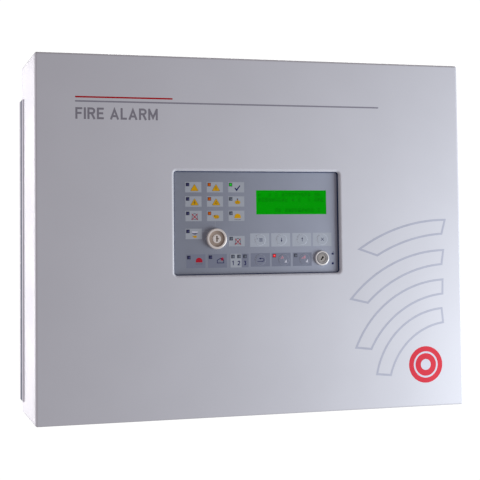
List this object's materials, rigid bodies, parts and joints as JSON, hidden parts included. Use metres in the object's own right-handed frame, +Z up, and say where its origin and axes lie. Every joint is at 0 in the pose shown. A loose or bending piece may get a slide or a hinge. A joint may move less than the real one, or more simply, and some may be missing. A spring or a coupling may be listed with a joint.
{
  "type": "fire alarm control panel",
  "caption": "Wall-mounted sheet-steel fire alarm control panel with a hinged deep cover, recessed indicator and key unit, key switch, lock, circuit boards, power supply and standby batteries.",
  "frame": {"origin": "centre of the back box's flat rear face, which lies on the wall", "axes": "+Z up, +X to the right seen from the front, +Y out of the rear face into the wall, so the front faces -Y"},
  "size_m": [0.452, 0.12, 0.36],
  "materials": {
    "powder_coat": "fine powder coat, satin",
    "zinc_steel": "zinc-plated sheet",
    "plated_fixings": "bright zinc",
    "printed_film": "printed polycarbonate film, fine matt",
    "clear_window": "clear window of the film",
    "display_glass": "backlit green character display",
    "black_steel": "black-coated steel frame",
    "circuit_board": "green solder mask",
    "black_plastic": "moulded black plastic",
    "dark_lamp": "unlit lamp, dark",
    "grey_lamp": "unlit lamp, grey",
    "amber_lamp": "unlit lamp, amber",
    "green_lamp": "lit lamp, green",
    "red_lamp": "lit lamp, red",
    "nickel": "satin nickel plate",
    "bronze_face": "brown bronze face",
    "light_keys": "printed film, light key",
    "dark_keys": "printed film, dark key",
    "rubber": "soft black rubber",
    "terminal_plastic": "green terminal moulding",
    "relay_plastic": "blue relay housing",
    "capacitor_sleeve": "shrunk sleeve with aluminium top",
    "header_plastic": "moulded socket",
    "ribbon_plastic": "grey flat cable with a red edge wire",
    "battery_case": "moulded ABS case",
    "red_lead": "red PVC insulation",
    "black_lead": "black PVC insulation",
    "earth_lead_plastic": "green and yellow PVC insulation"
  },
  "bodies": {
    "box": {"back_box": "powder_coat", "cable_grommets": "rubber", "hinge_leaf_box": "zinc_steel", "hinge_pin": "zinc_steel", "latch_bracket": "zinc_steel", "main_board": "circuit_board", "main_board_spacers": "plated_fixings", "main_board_screws": "plated_fixings", "terminal_blocks": "terminal_plastic", "relays": "relay_plastic", "board_chips": "black_plastic", "capacitors": "capacitor_sleeve", "main_header": "header_plastic", "ribbon_cable": "ribbon_plastic", "psu_case": "zinc_steel", "mains_terminal": "terminal_plastic", "battery_left": "battery_case", "battery_right": "battery_case", "battery_shelf": "zinc_steel", "battery_leads_red": "red_lead", "battery_leads_black": "black_lead", "box_earth_stud": "plated_fixings", "earth_lead": "earth_lead_plastic"},
    "door": {"front_cover": "powder_coat", "hinge_leaf_door": "zinc_steel", "cover_earth_stud": "plated_fixings", "display_plate": "zinc_steel", "display_plate_nuts": "plated_fixings", "overlay": "printed_film", "lcd_window": "clear_window", "lcd_glass": "display_glass", "lcd_bezel": "black_steel", "lcd_board": "circuit_board", "display_board": "circuit_board", "display_board_spacers": "plated_fixings", "display_board_screws": "plated_fixings", "tact_switches": "black_plastic", "lamps_fire": "dark_lamp", "lamps_status": "grey_lamp", "lamps_fault": "amber_lamp", "lamp_normal": "green_lamp", "lamp_silenced": "red_lamp", "buzzer": "black_plastic", "key_switch_body": "nickel", "key_switch_face": "bronze_face", "key_switch_nut": "nickel", "key_switch_contacts": "black_plastic", "lock_body": "nickel", "lock_nut": "nickel", "display_header": "header_plastic"},
    "switch_core": {"key_switch_core": "nickel"},
    "lock": {"lock_core": "nickel", "lock_cam": "nickel"},
    "key_menu": {"button_menu": "light_keys"},
    "key_down": {"button_down": "light_keys"},
    "key_up": {"button_up": "light_keys"},
    "key_cancel": {"button_cancel": "light_keys"},
    "key_return": {"button_return": "dark_keys"},
    "key_silence": {"button_silence": "dark_keys"},
    "key_evacuate": {"button_evacuate": "dark_keys"}
  },
  "joints": [
    {"name": "door_hinge", "type": "hinge", "parent": "box", "child": "door", "pos_m": [-0.2245, -0.006, 0], "axis": [0, 0, -1], "range_deg": [0, 90], "deforming": ["ribbon_cable", "earth_lead"]},
    {"name": "switch_turn", "type": "hinge", "parent": "door", "child": "switch_core", "pos_m": [-0.0435, -0.115, -0.0026], "axis": [0, 1, 0], "range_deg": [-90, 90]},
    {"name": "lock_turn", "type": "hinge", "parent": "door", "child": "lock", "pos_m": [0.0691, -0.115, -0.0236], "axis": [0, 1, 0], "range_deg": [0, 90]},
    {"name": "key_menu_press", "type": "slide", "parent": "door", "child": "key_menu", "axis": [0, 1, 0], "range_m": [0, 0.0005], "stiffness_N_per_m": 1500},
    {"name": "key_down_press", "type": "slide", "parent": "door", "child": "key_down", "axis": [0, 1, 0], "range_m": [0, 0.0005], "stiffness_N_per_m": 1500},
    {"name": "key_up_press", "type": "slide", "parent": "door", "child": "key_up", "axis": [0, 1, 0], "range_m": [0, 0.0005], "stiffness_N_per_m": 1500},
    {"name": "key_cancel_press", "type": "slide", "parent": "door", "child": "key_cancel", "axis": [0, 1, 0], "range_m": [0, 0.0005], "stiffness_N_per_m": 1500},
    {"name": "key_return_press", "type": "slide", "parent": "door", "child": "key_return", "axis": [0, 1, 0], "range_m": [0, 0.0005], "stiffness_N_per_m": 1500},
    {"name": "key_silence_press", "type": "slide", "parent": "door", "child": "key_silence", "axis": [0, 1, 0], "range_m": [0, 0.0005], "stiffness_N_per_m": 1500},
    {"name": "key_evacuate_press", "type": "slide", "parent": "door", "child": "key_evacuate", "axis": [0, 1, 0], "range_m": [0, 0.0005], "stiffness_N_per_m": 1500}
  ]
}
